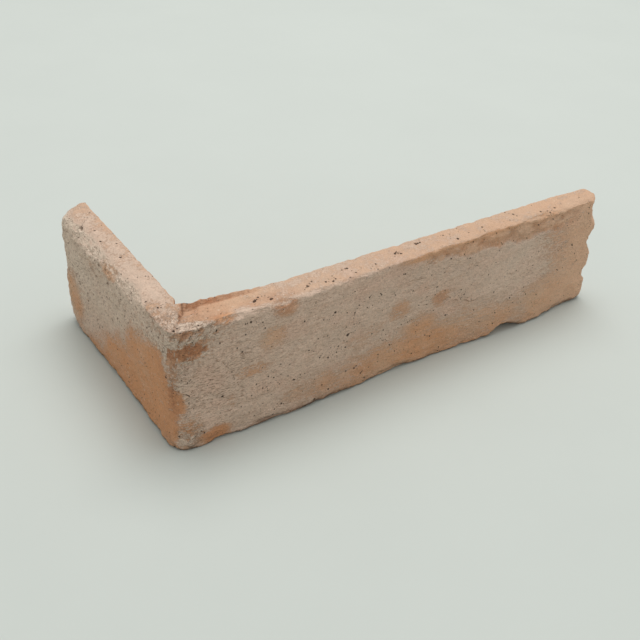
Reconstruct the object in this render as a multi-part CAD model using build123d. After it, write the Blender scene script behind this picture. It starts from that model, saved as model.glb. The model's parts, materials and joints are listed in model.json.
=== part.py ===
"""Corner brick slip: the L-shaped skin sawn off the corner of a hand-moulded clay brick, standing on its bed face.

Built the way the real one is made: a whole brick is moulded with bowed faces and rounded ends, two saw cuts take
its core away and leave a short header leg and a long stretcher leg, and then the clay's creases, the worn arrises,
the chips and a shallow dent are cut into what is left. Millimetres, +Z up.
While it is built, the brick's outer corner is at x = 0, y = 0, the stretcher leg runs along +X and the header leg
along +Y. The finished slip is moved so that the origin is under the middle of its box.
"""

import os

from build123d import *

# The whole brick that the slip is sawn from
STRETCHER_LENGTH = 256.0
HEADER_LENGTH = 123.0
HEIGHT = 65.0

# What the saw leaves, how far the blade ran on into the header leg behind the inner corner, and how near to a cut
# an edge is counted as sawn
STRETCHER_THICKNESS = 15.0
HEADER_THICKNESS = 15.0
SAW_KERF = 2.6
SAW_OVERRUN = 1.6
EDGE_TOLERANCE = 0.01

# The long cut drifted out before it met the short one, so the stretcher leg is thicker beside the inner corner
DRIFT_LENGTH = 38.0
DRIFT_WIDTH = 6.0

# Worn arrises
CORNER_RADIUS = 9.0
STRETCHER_END_RADIUS = 5.5
HEADER_END_RADIUS = 6.5
BED_ARRIS_RADIUS = 1.5

# How far the clay stands out of the brick's flat sides at each level of its height: the stretcher face near the
# corner and near its end, the stretcher leg's end, the header face, and the header leg's end.
# share of the height, near, far, stretcher end, header face, header end
MOULD = (
    (0.00, 1.9, 2.2, 1.6, -0.2, -3.0),
    (0.18, 1.7, 1.9, 2.9, 0.4, 3.6),
    (0.52, 1.0, 0.9, 2.9, 0.8, 2.2),
    (0.82, 0.7, 0.0, 2.4, 1.2, 4.4),
    (1.00, 0.8, -0.4, -0.4, 1.0, 2.6),
)

# Where along each leg the face bows out as the table says, and where and how deep it dips instead, as a share of
# the leg's length and in millimetres
STRETCHER_NEAR_BOW_SHARE = 0.16
STRETCHER_FAR_BOW_SHARE = 0.86
STRETCHER_DIP = (0.50, 0.2)
HEADER_BOW_SHARE = 0.70
HEADER_DIP = (0.36, 0.5)

# Creases across the stretcher leg's end, where folds of clay met in the mould: level, depth and radius, and by how
# much they are turned so that they run out towards the sawn face
END_CREASES = ((18.8, 1.6, 6.0), (39.6, 3.0, 7.8))
CREASE_TURN = 11.0

# Chips in the arrises: place along the leg, length and depth
STRETCHER_TOP_CHIPS = (
    (29.0, 20.0, 2.2), (55.0, 13.0, 1.9), (148.0, 30.0, 1.5), (180.0, 30.0, 1.9), (212.0, 34.0, 2.6)
)
STRETCHER_FOOT_CHIPS = ((194.0, 20.0, 3.2),)
HEADER_TOP_CHIPS = ((44.0, 30.0, 4.0), (64.0, 24.0, 3.4), (90.0, 104.0, 4.0))

# Hollows where clay was torn from the header face: place along the leg, height, length, and depth beyond the
# brick's flat side
HEADER_HOLLOWS = (
    (76.0, 50.0, 20.0, 1.0), (100.0, 42.0, 22.0, 0.6), (56.0, 36.0, 24.0, 0.9), (112.0, 55.0, 16.0, 0.6),
    (80.0, 24.0, 24.0, 0.6), (26.0, 22.0, 26.0, 1.2)
)

# The upright arris of the stretcher leg's end is broken away below the upper bed: height, length and depth
END_CHIP = (59.0, 26.0, 5.2)

# The header leg's upper outer corner is rounded off: length and depth
HEADER_CORNER_CHIP = (36.0, 4.4)

# Oval dent pressed into the upper bed beside the inner corner: how far its middle is beyond the header leg and
# behind the stretcher face, how it is turned towards the inner corner, and how it deepens under the header leg
DENT_LENGTH = 58.0
DENT_WIDTH = 14.4
DENT_DEPTH = 2.2
DENT_ALONG = 21.0
DENT_BEHIND = 8.9
DENT_TURN = 10.0
DENT_TILT = 2.4


def moulded_outline(level, near, far, stretcher_end, header_face, header_end):
    """The brick's outline at one level of its height, with its outer corner and its two far arrises rounded."""
    end_x = STRETCHER_LENGTH + stretcher_end
    end_y = HEADER_LENGTH + header_end
    with BuildSketch(Plane.XY.offset(level * HEIGHT)) as outline:
        with BuildLine():
            Spline(
                (CORNER_RADIUS, 0),
                (STRETCHER_NEAR_BOW_SHARE * STRETCHER_LENGTH, -near),
                (STRETCHER_DIP[0] * STRETCHER_LENGTH, STRETCHER_DIP[1]),
                (STRETCHER_FAR_BOW_SHARE * STRETCHER_LENGTH, -far),
                (end_x - STRETCHER_END_RADIUS, 0),
                tangents=((1, 0), (1, 0)),
            )
            CenterArc((end_x - STRETCHER_END_RADIUS, STRETCHER_END_RADIUS), STRETCHER_END_RADIUS, -90, 90)
            Polyline((end_x, STRETCHER_END_RADIUS), (end_x, end_y), (HEADER_END_RADIUS, end_y))
            CenterArc((HEADER_END_RADIUS, end_y - HEADER_END_RADIUS), HEADER_END_RADIUS, 90, 90)
            Spline(
                (0, end_y - HEADER_END_RADIUS),
                (-header_face, HEADER_BOW_SHARE * HEADER_LENGTH),
                (HEADER_DIP[1], HEADER_DIP[0] * HEADER_LENGTH),
                (0, CORNER_RADIUS),
                tangents=((0, -1), (0, -1)),
            )
            CenterArc((CORNER_RADIUS, CORNER_RADIUS), CORNER_RADIUS, 180, 90)
        make_face()
    return outline.sketch


def moulded_brick():
    """The whole brick, its skin lofted through every level of the mould."""
    return loft([moulded_outline(*row) for row in MOULD])


def sawn_core():
    """What the two saw cuts take away, run past the brick's ends and beds, with the blade's drift and overrun."""
    past = HEIGHT
    slot_x = HEADER_THICKNESS - SAW_OVERRUN
    slot_y = STRETCHER_THICKNESS + DRIFT_WIDTH
    far_x = STRETCHER_LENGTH + past
    far_y = HEADER_LENGTH + past
    with BuildSketch(Plane.XY.offset(-past)) as outline:
        with BuildLine():
            Polyline(
                (slot_x, slot_y),
                (HEADER_THICKNESS, slot_y),
                (HEADER_THICKNESS + DRIFT_LENGTH, STRETCHER_THICKNESS),
                (far_x, STRETCHER_THICKNESS),
                (far_x, far_y),
                (HEADER_THICKNESS, far_y),
                (HEADER_THICKNESS, slot_y + SAW_KERF),
                (slot_x, slot_y + SAW_KERF),
                close=True,
            )
        make_face()
    return extrude(outline.sketch, HEIGHT + 2 * past)


def moulded_edges(bed):
    """The edges of a bed face that the mould made, without those along the saw's cuts."""

    def sawn(edge):
        middle = edge @ 0.5
        past_header = middle.X > HEADER_THICKNESS - SAW_OVERRUN - EDGE_TOLERANCE
        past_stretcher = middle.Y > STRETCHER_THICKNESS - EDGE_TOLERANCE
        return past_header and past_stretcher

    return [edge for edge in bed.edges() if not sawn(edge)]


def crease(level, depth, radius):
    """A round groove across the stretcher leg's end."""
    rod = Rot(0, 0, -CREASE_TURN) * Cylinder(radius, 4 * STRETCHER_THICKNESS, rotation=(90, 0, 0))
    return Pos(STRETCHER_LENGTH + radius - depth, STRETCHER_THICKNESS / 3, level) * rod


def chip(place, length, depth, outward):
    """A scoop that bites into an arris or a face: part of a ball whose middle stands out of it."""
    radius = (length**2 / 4 + depth**2) / (2 * depth)
    middle = Vector(*place) + Vector(*outward).normalized() * (radius - depth)
    return Pos(*middle) * Sphere(radius)


def chips():
    """Every chip in the arrises and every hollow in the header face."""
    scoops = [chip((x, 0, HEIGHT), length, depth, (0, -1, 1)) for x, length, depth in STRETCHER_TOP_CHIPS]
    scoops += [chip((x, 0, 0), length, depth, (0, -1, -1)) for x, length, depth in STRETCHER_FOOT_CHIPS]
    scoops += [chip((0, y, HEIGHT), length, depth, (-1, 0, 1)) for y, length, depth in HEADER_TOP_CHIPS]
    scoops += [chip((0, y, z), length, depth, (-1, 0, 0)) for y, z, length, depth in HEADER_HOLLOWS]
    height, length, depth = END_CHIP
    scoops.append(chip((STRETCHER_LENGTH, 0, height), length, depth, (1, -1, 0)))
    scoops.append(chip((0, HEADER_LENGTH, HEIGHT), *HEADER_CORNER_CHIP, (-1, 1, 1)))
    return scoops


def dent():
    """A shallow oval dent in the upper bed, from under the header leg along the stretcher leg."""
    oval = scale(Sphere(1), by=(DENT_LENGTH / 2, DENT_WIDTH / 2, 2 * DENT_DEPTH))
    middle = Pos(HEADER_THICKNESS + DENT_ALONG, DENT_BEHIND, HEIGHT + DENT_DEPTH)
    return middle * Rot(0, 0, -DENT_TURN) * Rot(0, -DENT_TILT, 0) * oval


def corner_slip():
    """The sawn, creased, worn and chipped slip, moved to its origin."""
    slip = moulded_brick() - sawn_core()
    for end in (0, -1):
        bed = slip.faces().sort_by(Axis.Z)[end]
        slip = fillet(moulded_edges(bed), BED_ARRIS_RADIUS)
    for groove in END_CREASES:
        slip -= crease(*groove)
    for scoop in chips():
        slip -= scoop
    slip -= dent()
    box = slip.bounding_box()
    return Pos(-box.center().X, -box.center().Y, -box.min.Z) * slip


slip = corner_slip()
size = slip.bounding_box().size
print(f"corner_slip: {size.X:.1f} x {size.Y:.1f} x {size.Z:.1f} mm, {slip.volume / 1000:.1f} cm3, valid {slip.is_valid}")
os.makedirs("parts", exist_ok=True)
export_step(slip, "parts/corner_slip.step")
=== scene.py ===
# %% [markdown]
# # A corner brick slip in Blender
# The slip is the L-shaped skin of one old, hand-moulded brick: a long stretcher leg and a short header
# leg, sawn off the corner so that it wraps round a wall. The CAD model gives its true size and its main
# forms. Here its surface is made: worn arrises, crumbling saw edges, pits, and a rubbed lime wash over
# orange clay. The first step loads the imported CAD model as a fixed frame. Everything below is placed from
# it, in metres.

# %% Load the frame
import json
import math

import bmesh
import bpy
from mathutils import Matrix, Vector


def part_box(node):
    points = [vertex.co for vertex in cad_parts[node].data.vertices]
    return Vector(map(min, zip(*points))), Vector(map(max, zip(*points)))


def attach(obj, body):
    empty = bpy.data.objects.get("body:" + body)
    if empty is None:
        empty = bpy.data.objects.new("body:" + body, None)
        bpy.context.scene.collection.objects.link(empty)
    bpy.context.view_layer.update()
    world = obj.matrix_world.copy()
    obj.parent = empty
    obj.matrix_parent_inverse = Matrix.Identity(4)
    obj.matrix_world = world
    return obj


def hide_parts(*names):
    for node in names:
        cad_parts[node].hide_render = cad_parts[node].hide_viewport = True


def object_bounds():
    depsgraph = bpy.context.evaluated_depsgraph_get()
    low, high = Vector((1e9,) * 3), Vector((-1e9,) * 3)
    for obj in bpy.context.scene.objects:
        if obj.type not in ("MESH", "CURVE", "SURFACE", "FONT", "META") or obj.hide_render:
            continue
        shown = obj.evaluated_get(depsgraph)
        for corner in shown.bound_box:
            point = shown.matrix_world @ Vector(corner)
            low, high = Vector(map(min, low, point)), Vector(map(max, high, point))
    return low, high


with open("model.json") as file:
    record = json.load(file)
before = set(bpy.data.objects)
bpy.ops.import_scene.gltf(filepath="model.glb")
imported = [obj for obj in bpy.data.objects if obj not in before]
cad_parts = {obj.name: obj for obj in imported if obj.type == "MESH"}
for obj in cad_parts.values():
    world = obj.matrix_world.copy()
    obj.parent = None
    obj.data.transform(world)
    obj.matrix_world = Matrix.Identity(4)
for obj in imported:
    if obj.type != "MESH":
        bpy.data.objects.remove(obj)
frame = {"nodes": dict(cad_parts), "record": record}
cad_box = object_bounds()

print("the CAD box, in metres:", [[round(value, 4) for value in corner] for corner in cad_box])

# %% [markdown]
# The brick was moulded as a whole, so the natural place to measure from is its outer corner: x runs along
# the stretcher face, y along the header face and z up from the bed that it lies on. The record's mounts
# tell where the two sawn faces are, and the slip is 15 mm thick, so the outer corner lies one thickness
# outside them both. Measuring from there lets every stain and chip below be written as a craftsman would:
# so many millimetres from the corner, so many up.

# %% The outer corner and the slip's measures
MM = 0.001
METRES_TO_MM = (1 / MM, 1 / MM, 1 / MM)
MM_TO_METRES = (MM, MM, MM)
THICKNESS = 15.0
mounts = {mount["name"]: mount["pos_m"] for mount in frame["record"]["mounts"]}
slip_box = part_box("corner_slip")
corner_x = mounts["header_back"][0] - THICKNESS * MM
corner_y = mounts["stretcher_back"][1] - THICKNESS * MM
OUTER_CORNER = Vector((corner_x, corner_y, 0))
STRETCHER = (slip_box[1][0] - OUTER_CORNER.x) / MM
HEADER = (slip_box[1][1] - OUTER_CORNER.y) / MM
HEIGHT = slip_box[1][2] / MM
print(f"stretcher leg {STRETCHER:.1f} mm, header leg {HEADER:.1f} mm, height {HEIGHT:.1f} mm")

# %% [markdown]
# Both the relief and the colour of weathered clay are sums of simple fields: noise, distances and
# patches. Blender draws such sums as nodes, which soon become hard to read. A small class around a node's
# socket lets them be written as formulas instead, and the same class serves geometry nodes and shader
# nodes, because the Math and texture nodes are the same in both.

# %% Formulas that build nodes
# Sockets that share their name with others of the node, so that a number tells them apart: the Mix node's
# for colours, and the Random Value node's for numbers
MIX_SHARE, MIX_FIRST, MIX_SECOND, MIX_RESULT = 0, 6, 7, 2
RANDOM_SMALLEST, RANDOM_LARGEST, RANDOM_RESULT = 2, 3, 1


class Field:
    """What flows out of one socket of a node tree, to be used in formulas."""

    def __init__(self, wires, socket):
        self.wires = wires
        self.socket = socket

    def math(self, operation, *values):
        return self.wires.add("ShaderNodeMath", {"operation": operation}, dict(enumerate(values)))

    def __add__(self, other):
        return self.math("ADD", self, other)

    def __sub__(self, other):
        return self.math("SUBTRACT", self, other)

    def __rsub__(self, other):
        return self.math("SUBTRACT", other, self)

    def __mul__(self, other):
        return self.math("MULTIPLY", self, other)

    def __truediv__(self, other):
        return self.math("DIVIDE", self, other)

    def __rtruediv__(self, other):
        return self.math("DIVIDE", other, self)

    def __pow__(self, other):
        return self.math("POWER", self, other)

    def __rpow__(self, other):
        return self.math("POWER", other, self)

    # A sum and a product are the same from both sides
    __radd__ = __add__
    __rmul__ = __mul__

    def least(self, other):
        return self.math("MINIMUM", self, other)

    def most(self, other):
        return self.math("MAXIMUM", self, other)

    def size(self):
        return self.math("ABSOLUTE", self)

    def sine(self):
        return self.math("SINE", self)

    def step(self, start, end):
        """0 before start, 1 after end, with a soft curve between. It falls where start is the larger."""
        values = {"Value": self, "From Min": start, "From Max": end, "To Min": 0.0, "To Max": 1.0}
        return self.wires.add("ShaderNodeMapRange", {"interpolation_type": "SMOOTHSTEP"}, values)

    def swing(self, reach=0.22):
        """Noise about 0.5 made to swing from -0.5 to 0.5."""
        return self.step(0.5 - reach, 0.5 + reach) - 0.5

    def clamp(self):
        return self.most(0.0).least(1.0)


class Wires:
    """A node tree in which formulas are laid out."""

    def __init__(self, tree):
        self.tree = tree

    def add(self, kind, settings=None, values=None, output=0):
        """Adds a node of that kind, sets it up, feeds its sockets, and gives back one of its outputs."""
        node = self.tree.nodes.new(kind)
        for name, setting in (settings or {}).items():
            setattr(node, name, setting)
        for key, value in (values or {}).items():
            if isinstance(value, Field):
                self.tree.links.new(value.socket, node.inputs[key])
            else:
                node.inputs[key].default_value = value
        return Field(self, node.outputs[output])

    def vector(self, operation, *values):
        return self.add("ShaderNodeVectorMath", {"operation": operation}, dict(enumerate(values)))

    def scaled(self, vector, scale):
        return self.add("ShaderNodeVectorMath", {"operation": "SCALE"}, {0: vector, "Scale": scale})

    def length(self, vector):
        return self.add("ShaderNodeVectorMath", {"operation": "LENGTH"}, {0: vector}, "Value")

    def stretched(self, place, lengths):
        """The place measured in those lengths along x, y and z."""
        return self.vector("MULTIPLY", place, [1.0 / length for length in lengths])

    def noise(self, place, lengths, detail=2.0, roughness=0.5, distortion=0.0):
        """Noise from 0 to 1 whose lumps are about as long, wide and high as the lengths."""
        values = {"Vector": self.stretched(place, lengths), "Scale": 1.0, "Detail": detail}
        values.update({"Roughness": roughness, "Distortion": distortion})
        return self.add("ShaderNodeTexNoise", {"noise_dimensions": "3D"}, values)

    def cells(self, place, lengths, output="Distance"):
        """How far a place is from the middle of its cell, or a value by chance for each whole cell."""
        values = {"Vector": self.stretched(place, lengths), "Scale": 1.0, "Randomness": 1.0}
        return self.add("ShaderNodeTexVoronoi", {"feature": "F1"}, values, output)

    def split(self, vector):
        return [self.add("ShaderNodeSeparateXYZ", {}, {"Vector": vector}, axis) for axis in "XYZ"]

    def blend(self, share, first, second):
        """Colours mixed: first where share is 0, second where it is 1."""
        values = {MIX_SHARE: share}
        for socket, colour in ((MIX_FIRST, first), (MIX_SECOND, second)):
            values[socket] = colour if isinstance(colour, Field) else (*colour, 1.0)
        return self.add("ShaderNodeMix", {"data_type": "RGBA"}, values, MIX_RESULT)


print("formulas ready")

# %% [markdown]
# Stains, chips and bare places are soft ellipses, each written as its middle and its half-widths in
# millimetres on the face that it lies on, and a strength. The noise that is added later breaks their
# outlines up.

# %% Soft patches
def patch(across, up, middle, reach, strength):
    """An ellipse that is strongest in its middle and fades out at its reach."""
    far = ((across - middle[0]) / reach[0]) ** 2 + ((up - middle[1]) / reach[1]) ** 2
    return far.step(1.7, 0.1) * strength


def patches(across, up, rows):
    """The sum of several patches."""
    total = patch(across, up, *rows[0])
    for row in rows[1:]:
        total = total + patch(across, up, *row)
    return total


# Where the lime wash has gone from the stretcher face: middle, half-widths, strength
STRETCHER_BARE = (
    ((9.0, 52.5), (9.5, 4.0), 0.4),
    ((7.0, 62.0), (3.8, 2.2), 0.65),
    ((1.5, 26.0), (5.5, 8.0), 1.0),
    ((-2.0, 12.0), (5.0, 13.0), 1.0),
    ((9.0, 14.0), (6.0, 6.0), 0.3),
    ((0.5, 43.0), (3.4, 12.0), 0.5),
    ((20.0, 5.0), (8.0, 4.6), 0.85),
    ((39.5, 33.5), (10.0, 3.4), 0.5),
    ((28.6, 19.9), (3.0, 3.6), 0.55),
    ((68.0, 12.0), (15.0, 7.0), 0.38),
    ((94.0, 10.0), (22.0, 11.0), 0.2),
    ((97.0, 27.0), (7.0, 5.0), 0.28),
    ((56.0, 63.0), (7.0, 7.0), 0.75),
    ((27.0, 64.0), (6.0, 2.5), 0.5),
    ((50.0, 48.0), (7.0, 6.5), 0.5),
    ((122.0, 37.0), (7.0, 6.0), 0.55),
    ((108.0, 31.0), (6.0, 4.0), 0.3),
    ((136.0, 24.5), (10.0, 6.0), 0.45),
    ((132.0, 12.0), (32.0, 11.0), 0.3),
    ((147.5, 35.5), (6.0, 5.0), 0.6),
    ((222.0, 9.0), (38.0, 12.0), 0.3),
)
# Where the lime wash is thick on the stretcher face
STRETCHER_LIMED = (
    ((196.0, 36.0), (28.0, 17.0), 0.3),
    ((203.0, 9.0), (9.0, 9.0), 0.35),
    ((20.0, 28.0), (14.0, 16.0), 0.2),
    ((5.0, 42.0), (7.0, 9.0), 0.12),
    ((105.0, 50.0), (26.0, 12.0), 0.1),
)
# The same on the header face, where the first number is the distance from the outer corner
HEADER_BARE = (
    ((114.0, 20.0), (11.0, 15.0), 0.9),
    ((66.0, 60.5), (9.0, 4.5), 0.75),
    ((80.0, 53.0), (10.0, 5.0), 0.25),
    ((14.0, 34.0), (8.0, 14.0), 0.8),
)
HEADER_LIMED = (
    ((4.0, 47.0), (5.0, 9.0), 0.8),
    ((60.0, 30.0), (22.0, 10.0), 0.25),
    ((86.0, 14.0), (12.0, 9.0), 0.5),
)
# Lime that has spread over the upper bed: distances along x and y
BED_LIMED = (
    ((9.0, 40.0), (8.0, 15.0), 0.48),
    ((4.0, 9.0), (9.0, 12.0), 0.38),
    ((4.0, 84.0), (8.0, 40.0), 0.32),
    ((36.0, 3.5), (6.0, 5.0), 0.6),
    ((14.0, 1.0), (12.0, 5.0), 0.5),
)
# Darker, redder clay: on the stretcher face, and on the upper bed
STRETCHER_RED = (
    ((8.5, 53.0), (10.0, 4.0), 0.75),
    ((7.0, 62.5), (3.6, 2.4), 0.5),
    ((1.0, 22.0), (6.0, 12.0), 0.55),
    ((0.0, 42.0), (4.0, 13.0), 0.5),
    ((20.0, 5.0), (8.0, 5.0), 0.4),
    ((28.6, 19.9), (3.4, 3.8), 0.4),
    ((147.5, 35.5), (5.5, 4.5), 0.7),
    ((55.0, 63.5), (8.0, 7.0), 0.7),
    ((27.0, 64.0), (6.0, 2.5), 0.15),
    ((76.0, 9.0), (32.0, 10.0), 0.22),
    ((120.0, 34.0), (8.0, 6.0), 0.2),
)
# Warmer, more orange clay on the stretcher face
STRETCHER_WARM = (
    ((1.0, 18.0), (8.0, 18.0), 1.0),
    ((20.0, 5.0), (9.0, 5.0), 0.6),
    ((132.0, 10.0), (36.0, 12.0), 0.1),
    ((98.0, 8.0), (26.0, 10.0), 0.12),
    ((120.0, 36.0), (9.0, 7.0), 0.4),
    ((226.0, 48.0), (18.0, 12.0), 0.25),
    ((39.5, 33.5), (11.0, 4.0), 0.4),
    ((14.0, 54.0), (12.0, 8.0), 0.6),
    ((27.0, 64.0), (7.0, 3.0), 0.5),
)
BED_RED = (
    ((20.0, 10.0), (14.0, 7.5), 0.35),
    ((57.0, 3.0), (8.0, 6.0), 0.5),
    ((44.0, 5.0), (10.0, 5.0), 0.35),
)
bare_count = len(STRETCHER_BARE) + len(HEADER_BARE)
limed_count = len(STRETCHER_LIMED) + len(HEADER_LIMED) + len(BED_LIMED)
print(bare_count, "bare places,", limed_count, "limed ones")

# %% [markdown]
# The CAD solid has few, large triangles, too few to carry relief. A copy of its mesh is merged into one
# closed skin, and a voxel remesh then covers it with even faces under a millimetre wide. That also rounds
# every sharp edge a little, as fired clay is.

# %% An even skin over the CAD solid
SKIN_STEP = 0.86 * MM
MERGE_DISTANCE = 1e-6

skin = bpy.data.objects.new("corner_slip_clay", frame["nodes"]["corner_slip"].data.copy())
bpy.context.collection.objects.link(skin)
skin.data.materials.clear()
merged = bmesh.new()
merged.from_mesh(skin.data)
bmesh.ops.remove_doubles(merged, verts=merged.verts, dist=MERGE_DISTANCE)
merged.to_mesh(skin.data)
merged.free()
remesh = skin.modifiers.new("Even skin", "REMESH")
remesh.mode = "VOXEL"
remesh.voxel_size = SKIN_STEP
remesh.use_smooth_shade = True
print("merged solid:", len(skin.data.vertices), "points")

# %% [markdown]
# Hand-moulded clay is full of small holes where grit or straw burnt out. The largest ones are listed, a
# row for each face, as distances from the outer corner and a radius. They are kept as the points of a
# small mesh, which the geometry nodes read and set down on the surface. About a thousand smaller ones
# are too many to place, and are scattered by the nodes.

# %% The large pits
STRETCHER_PITS = (
    (82.7, 49.4, 0.75), (91.1, 33.4, 0.95), (85.7, 29.0, 0.65), (84.7, 25.8, 0.5), (79.7, 24.8, 0.6),
    (75.1, 26.5, 0.5), (65.8, 50.2, 0.5), (76.2, 47.7, 0.45), (78.9, 37.8, 0.45), (38.5, 59.1, 0.7),
    (89.8, 26.9, 0.55), (60.4, 19.9, 0.75), (72.3, 3.5, 0.8), (24.0, 24.0, 0.65), (47.0, 27.0, 0.5),
    (102.0, 51.0, 0.5), (118.0, 47.0, 0.45), (129.0, 45.5, 0.5), (140.0, 51.0, 0.45), (152.0, 24.0, 0.6),
    (163.0, 33.0, 0.5), (171.0, 21.0, 0.5), (184.0, 28.0, 0.55), (96.0, 12.0, 0.55), (111.0, 14.0, 0.5),
    (54.0, 8.0, 0.6), (34.0, 45.0, 0.45), (44.0, 57.5, 0.45), (69.0, 33.0, 0.4), (207.0, 20.0, 0.55),
)
HEADER_PITS = (
    (106.0, 55.0, 0.8), (99.0, 47.0, 0.9), (92.0, 54.0, 0.7), (88.0, 40.0, 0.9), (81.0, 49.0, 0.8),
    (77.0, 58.0, 0.9), (70.0, 44.0, 0.7), (66.0, 54.0, 1.0), (60.0, 38.0, 0.7), (55.0, 52.0, 0.9),
    (49.0, 46.0, 0.6), (112.0, 40.0, 0.7), (104.0, 33.0, 0.8), (95.0, 28.0, 0.7), (86.0, 22.0, 0.6),
    (33.0, 55.0, 0.7), (22.0, 52.0, 0.6), (12.0, 57.0, 0.8), (6.0, 40.0, 0.6), (116.0, 50.0, 0.6),
)
BED_PITS = (
    (51.3, 4.8, 0.9), (44.5, 7.8, 0.95), (47.0, 9.0, 0.6), (70.5, 5.0, 0.85), (79.4, 3.8, 0.6),
    (95.6, 3.5, 0.6), (94.0, 8.4, 0.7), (121.7, 8.3, 0.7), (124.2, 6.9, 0.8), (136.4, 10.9, 0.95),
    (138.5, 10.6, 0.6), (157.7, 4.7, 0.75), (153.1, 10.6, 0.6), (199.3, 10.0, 0.7), (214.7, 5.3, 0.65),
    (224.5, 4.9, 0.7), (1.5, 104.0, 1.1), (6.5, 86.6, 0.7), (8.8, 68.5, 0.8), (7.8, 97.0, 0.5),
    (12.0, 80.0, 0.5), (4.8, 3.8, 0.85), (6.0, 22.0, 0.6), (3.0, 30.0, 0.6), (108.0, 5.0, 0.5),
    (176.0, 7.5, 0.6),
)
# A pit is drawn this much smaller than its row says
PIT_SHARE = 0.88

pit_rows = [((across, 0.0, up), radius) for across, up, radius in STRETCHER_PITS]
pit_rows += [((0.0, across, up), radius) for across, up, radius in HEADER_PITS]
pit_rows += [((along, across, HEIGHT), radius) for along, across, radius in BED_PITS]
pit_mesh = bpy.data.meshes.new("placed_pits")
pit_mesh.from_pydata([OUTER_CORNER + Vector(place) * MM for place, radius in pit_rows], [], [])
pit_sizes = pit_mesh.attributes.new("pit_radius", "FLOAT", "POINT")
pit_sizes.data.foreach_set("value", [radius * PIT_SHARE * MM for place, radius in pit_rows])
placed_pits = bpy.data.objects.new("placed_pits", pit_mesh)
print(len(pit_rows), "pits placed by hand")

# %% [markdown]
# The relief is one geometry nodes tree, because it follows a rule everywhere: each point of the skin
# moves in along its normal by a depth that depends on where it lies, or a little way out where the depth
# is negative. No point may leave the CAD model's box, so the slip keeps the size that the CAD gave it.
# The tree's inputs are the depths and the pits' radii in millimetres and the number of pits. Its first
# part finds out which face a point is on, from its normal and its place.

# %% The relief tree: inputs and faces
RELIEF = {
    "Undulation": 0.7,
    "Lumps": 0.7,
    "Grain": 0.46,
    "Arris wear": 1.7,
    "Saw break-out": 1.3,
    "Header roughness": 1.0,
    "Flaked band": 1.5,
    "Crust": 1.15,
    "Pits per square metre": 17000.0,
    "Smallest pit": 0.18,
    "Largest pit": 0.44,
}
SEED = 7

relief = bpy.data.node_groups.new("Weathered clay", "GeometryNodeTree")
relief.interface.new_socket("Geometry", in_out="OUTPUT", socket_type="NodeSocketGeometry")
kinds = {"Geometry": "Geometry", **dict.fromkeys(RELIEF, "Float")}
kinds.update({"Seed": "Int", "Placed pits": "Object", "Clay": "Material"})
entries = {}
for name, kind in kinds.items():
    entries[name] = relief.interface.new_socket(name, in_out="INPUT", socket_type="NodeSocket" + kind)

g = Wires(relief)
group_input = relief.nodes.new("NodeGroupInput")
given = {name: Field(g, group_input.outputs[name]) for name in entries}

place_m = g.add("GeometryNodeInputPosition")
P = g.vector("MULTIPLY", g.vector("SUBTRACT", place_m, OUTER_CORNER), METRES_TO_MM)
x, y, z = g.split(P)
nx, ny, nz = g.split(g.add("GeometryNodeInputNormal"))

on_header_leg = x.step(THICKNESS + 1.0, THICKNESS)
on_stretcher_leg = y.step(THICKNESS + 1.0, THICKNESS)
on_bed = nz.step(0.55, 0.85)
on_foot = nz.step(-0.55, -0.85)
on_stretcher_face = ny.step(-0.35, -0.75) * y.step(8.0, 5.0)
on_header_face = nx.step(-0.35, -0.75) * x.step(8.0, 5.0)
sawn_stretcher = ny.step(0.45, 0.8) * x.step(THICKNESS - 0.6, THICKNESS + 0.6) * on_stretcher_leg
sawn_header = nx.step(0.45, 0.8) * y.step(THICKNESS - 0.6, THICKNESS + 0.6) * on_header_leg
sawn = sawn_stretcher.most(sawn_header)
on_stretcher_end = nx.step(0.3, 0.7) * x.step(STRETCHER - 22.0, STRETCHER - 14.0)
on_header_end = ny.step(0.3, 0.7) * y.step(HEADER - 22.0, HEADER - 14.0)
moulded = (1.0 - sawn) * (1.0 - on_bed) * (1.0 - on_foot)
print(len(relief.nodes), "nodes find the faces")

# %% [markdown]
# The soft relief comes from noise at three widths: a slow undulation, lumps about a centimetre wide, and
# grain. The beds were struck flat and the back was sawn, so they get less of it. On the stretcher face
# the clay was dragged along the mould, so part of the noise there is stretched into long, low ridges.

# %% Undulation, lumps, grain and drag ridges
slow = g.noise(P, (42.0, 42.0, 30.0), detail=1.0)
lumps = g.noise(P, (13.0, 13.0, 9.0), detail=3.0, roughness=0.55)
grain = g.noise(P, (3.4, 3.4, 3.0), detail=3.0, roughness=0.6)
dragged = g.noise(P, (46.0, 46.0, 3.2), detail=3.0, roughness=0.55)

soft = (slow.swing() + 0.1) * given["Undulation"] * moulded
soft = soft + (lumps.swing() + 0.2) * given["Lumps"] * (moulded * 0.75 + 0.25) * (1.0 - sawn * 0.85)
soft = soft + (grain.swing() + 0.3) * given["Grain"] * (1.0 - sawn * 0.6)
soft = soft + dragged.swing() * 0.4 * on_stretcher_face
print(len(relief.nodes), "nodes so far")

# %% [markdown]
# Wear gathers where two faces meet. The distance of a point from an arris is simply the sum of its depths
# below the two faces, so no edge has to be found in the mesh. Along the outer arrises noise decides where
# clay has broken off. Along the back edge of the upper bed the saw tore the clay out in small nibbles,
# which the cells of a Voronoi texture imitate.

# %% Worn arrises and saw break-out
below_top = HEIGHT - z
outer_depth = y.most(0.0).least(x.most(0.0))
near_top_arris = (below_top + outer_depth).step(7.5, 0.0)
near_foot_arris = (z + outer_depth).step(6.0, 0.0)
near_corner = (x.most(0.0) + y.most(0.0)).step(13.0, 3.0)
near_ends = (STRETCHER - 6.0 - x).step(6.0, 0.0).most((HEADER - 5.0 - y).step(6.0, 0.0))

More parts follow.
